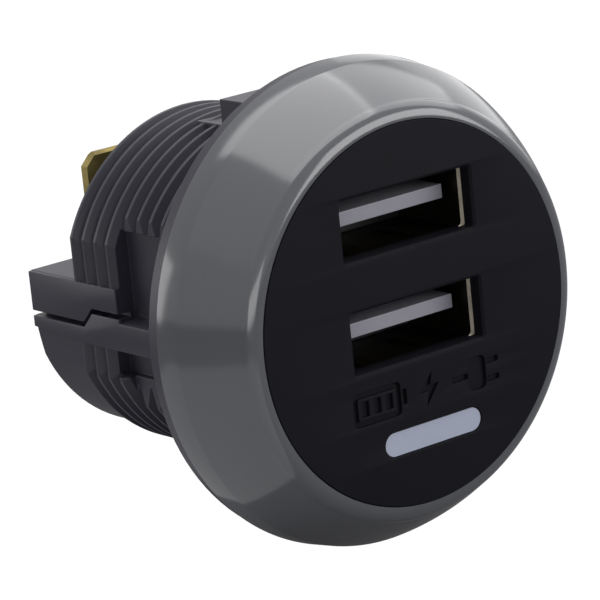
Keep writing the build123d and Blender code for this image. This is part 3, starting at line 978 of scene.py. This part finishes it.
@dataclass
class Studio:
    """Camera, pale floor, white surround and softboxes."""

    azimuth: float = -37.80
    elevation: float = 14.30
    roll: float = -5.86
    offset: Point2 = (8.68, -1.02)
    distance: float = 287.5
    focal_pixels: float = 3892.0
    image_pixels: float = 600.0
    sensor_mm: float = 36.0
    clip_m: Point2 = (0.01, 20.0)
    floor_z: float = -18.7
    floor_radius_m: float = 3.0
    floor_seen: Point2 = (0.8, 0.05)
    floor_glow: float = 1.25
    fibre_mm: float = 0.8
    world_seen: Point2 = (1.0, 1.0)
    ambient: float = 0.25

    def camera(self) -> None:
        """Sets the camera where the photograph's was, worked out from the ports and the disc."""
        az, el, roll = (math.radians(v) for v in (self.azimuth, self.elevation, self.roll))
        back = Vector((math.sin(az) * math.cos(el), -math.cos(az) * math.cos(el), math.sin(el)))
        right = Vector((math.cos(az), math.sin(az), 0))
        up = back.cross(right)
        right, up = (
            math.cos(roll) * right + math.sin(roll) * up,
            -math.sin(roll) * right + math.cos(roll) * up,
        )
        place = back * self.distance - right * self.offset[0] - up * self.offset[1]
        place.y += FACE_Y
        data = bpy.data.cameras.new("camera")
        data.sensor_width = self.sensor_mm
        data.lens = self.focal_pixels / self.image_pixels * data.sensor_width
        data.clip_start, data.clip_end = self.clip_m
        camera = bpy.data.objects.new("camera", data)
        turn = Matrix((right, up, back)).transposed().to_4x4()
        camera.matrix_world = Matrix.Translation(place * MM) @ turn
        bpy.context.scene.collection.objects.link(camera)
        bpy.context.scene.camera = camera

    def seen_directly(self, tree: bpy.types.NodeTree, eye: float, mirror: float) -> bpy.types.NodeSocket:
        """Weighs how a surface is met: by the eye, or in a reflection or through glass.

        Args:
            tree: node tree that asks.
            eye: value where the eye meets it.
            mirror: value where a reflection or glass shows it.

        Returns:
            The socket with that value, which is 0 for the light that falls on the part.
        """
        path = add_node(tree, "ShaderNodeLightPath").outputs
        ways = ("Is Camera Ray", eye), ("Is Glossy Ray", mirror), ("Is Transmission Ray", mirror)
        total = None
        for way, weight in ways:
            share = add_node(
                tree, "ShaderNodeMath", {"operation": "MULTIPLY"}, {1: weight}, {0: path[way]}
            )
            if total is None:
                total = share.outputs["Value"]
            else:
                links = {0: total, 1: share.outputs["Value"]}
                larger = add_node(tree, "ShaderNodeMath", {"operation": "MAXIMUM"}, links=links)
                total = larger.outputs["Value"]
        return total

    def surround(self) -> None:
        """Makes the world: a white background for the eye, a dimmer one as light on the part."""
        world = bpy.data.worlds.new("surround")
        bpy.context.scene.world = world
        world.use_nodes = True
        tree = world.node_tree
        tree.nodes.clear()
        seen = self.seen_directly(tree, *self.world_seen)
        dim = add_node(
            tree, "ShaderNodeBackground", inputs={"Color": linear("#f4f5f8"), "Strength": self.ambient}
        )
        white = add_node(tree, "ShaderNodeBackground", inputs={"Color": (1, 1, 1, 1), "Strength": 1.0})
        mixed = add_node(
            tree,
            "ShaderNodeMixShader",
            links={0: seen, 1: dim.outputs["Background"], 2: white.outputs["Background"]},
        )
        add_node(tree, "ShaderNodeOutputWorld", links={"Surface": mixed.outputs["Shader"]})

    def floor(self) -> None:
        """Lays the pale floor, which keeps the part's soft shadow."""
        material, tree = empty_material("floor_paper_seamless")
        place = add_node(tree, "ShaderNodeTexCoord").outputs["Object"]
        fibre = add_node(
            tree,
            "ShaderNodeTexNoise",
            inputs={"Scale": 1 / (self.fibre_mm * MM), "Detail": 3.0},
            links={"Vector": place},
        )
        tone = add_node(
            tree,
            "ShaderNodeMix",
            {"data_type": "RGBA"},
            {"A": linear("#78787a"), "B": linear("#808082")},
            {"Factor": fibre.outputs["Fac"]},
        )
        paper = add_node(tree, "ShaderNodeBsdfDiffuse", links={"Color": tone.outputs["Result"]})
        seen = self.seen_directly(tree, *self.floor_seen)
        glow = add_node(
            tree, "ShaderNodeEmission", inputs={"Color": (1, 1, 1, 1), "Strength": self.floor_glow}
        )
        mixed = add_node(
            tree,
            "ShaderNodeMixShader",
            links={0: seen, 1: paper.outputs["BSDF"], 2: glow.outputs["Emission"]},
        )
        add_node(tree, "ShaderNodeOutputMaterial", links={"Surface": mixed.outputs["Shader"]})
        shape = bmesh.new()
        bmesh.ops.create_circle(shape, cap_ends=True, segments=64, radius=self.floor_radius_m)
        mesh = finished("floor", shape)
        mesh.materials.append(material)
        floor = bpy.data.objects.new("floor", mesh)
        floor.location = (0, 0, self.floor_z * MM)
        bpy.context.scene.collection.objects.link(floor)

    def lights(self) -> None:
        """Hangs the softboxes: what each gives stands beside it."""
        ground = (-0.045, -0.02)
        for light in (
            # broad highlights along the top of the bezel and the deck, dimmer to the right
            StudioLight("softbox_top", (0.03, 0.03, 0.42), size=(0.4, 0.42), power=1.9),
            StudioLight("softbox_top_right", (0.43, 0.03, 0.42), size=(0.4, 0.42), power=1.1),
            # the fading upper left of the bezel, and its thin right rim
            StudioLight("softbox_left", (-0.39, -0.05, 0.42), size=(0.4, 0.4), power=0.12),
            StudioLight("softbox_right", (0.52, 0.3, 0.13), size=(0.45, 0.35), power=0.3),
            # fill for the barrel's side and the bezel's left, from behind, in front and the table
            StudioLight("softbox_rear", (-0.42, 0.42, 0.08), size=(0.3, 0.3), power=1.0),
            StudioLight("softbox_low", (-0.3, -0.42, 0.02), size=(0.4, 0.2), power=0.9),
            StudioLight(
                "softbox_ground", (*ground, -0.0175), size=(0.06, 0.1), power=0.011, aim=(*ground, 1.0)
            ),
            # the lip, the tongues and the steel mouths
            StudioLight("softbox_front", (0.35, -0.5, 0.18), size=(0.5, 0.35), power=2.8),
        ):
            light.build()

    def build(self) -> None:
        """Sets up the whole studio."""
        self.camera()
        self.surround()
        self.floor()
        self.lights()
        bpy.context.scene.view_settings.view_transform = "Standard"


def dress_nodes() -> None:
    """Gives every CAD node its real finish, also those that later pieces replace."""
    made: dict[str, bpy.types.Material] = {}
    for name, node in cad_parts.items():
        key = next(prefix for prefix in NODE_FINISHES if name.startswith(prefix))
        finish = NODE_FINISHES[key]
        if finish.name not in made:
            made[finish.name] = finish.material()
        for slot in node.material_slots:
            slot.link = "OBJECT"
            slot.material = made[finish.name]
        LOG.info("%s dressed in %s", name, finish.name)


def main() -> None:
    """Builds the scene in order."""
    logging.basicConfig(level=logging.INFO, format="%(name)s %(message)s")
    Studio().build()
    dress_nodes()
    Bezel().build()
    Face().build()
    Ports().build()
    Barrel().build()


if __name__ == "__main__":
    main()
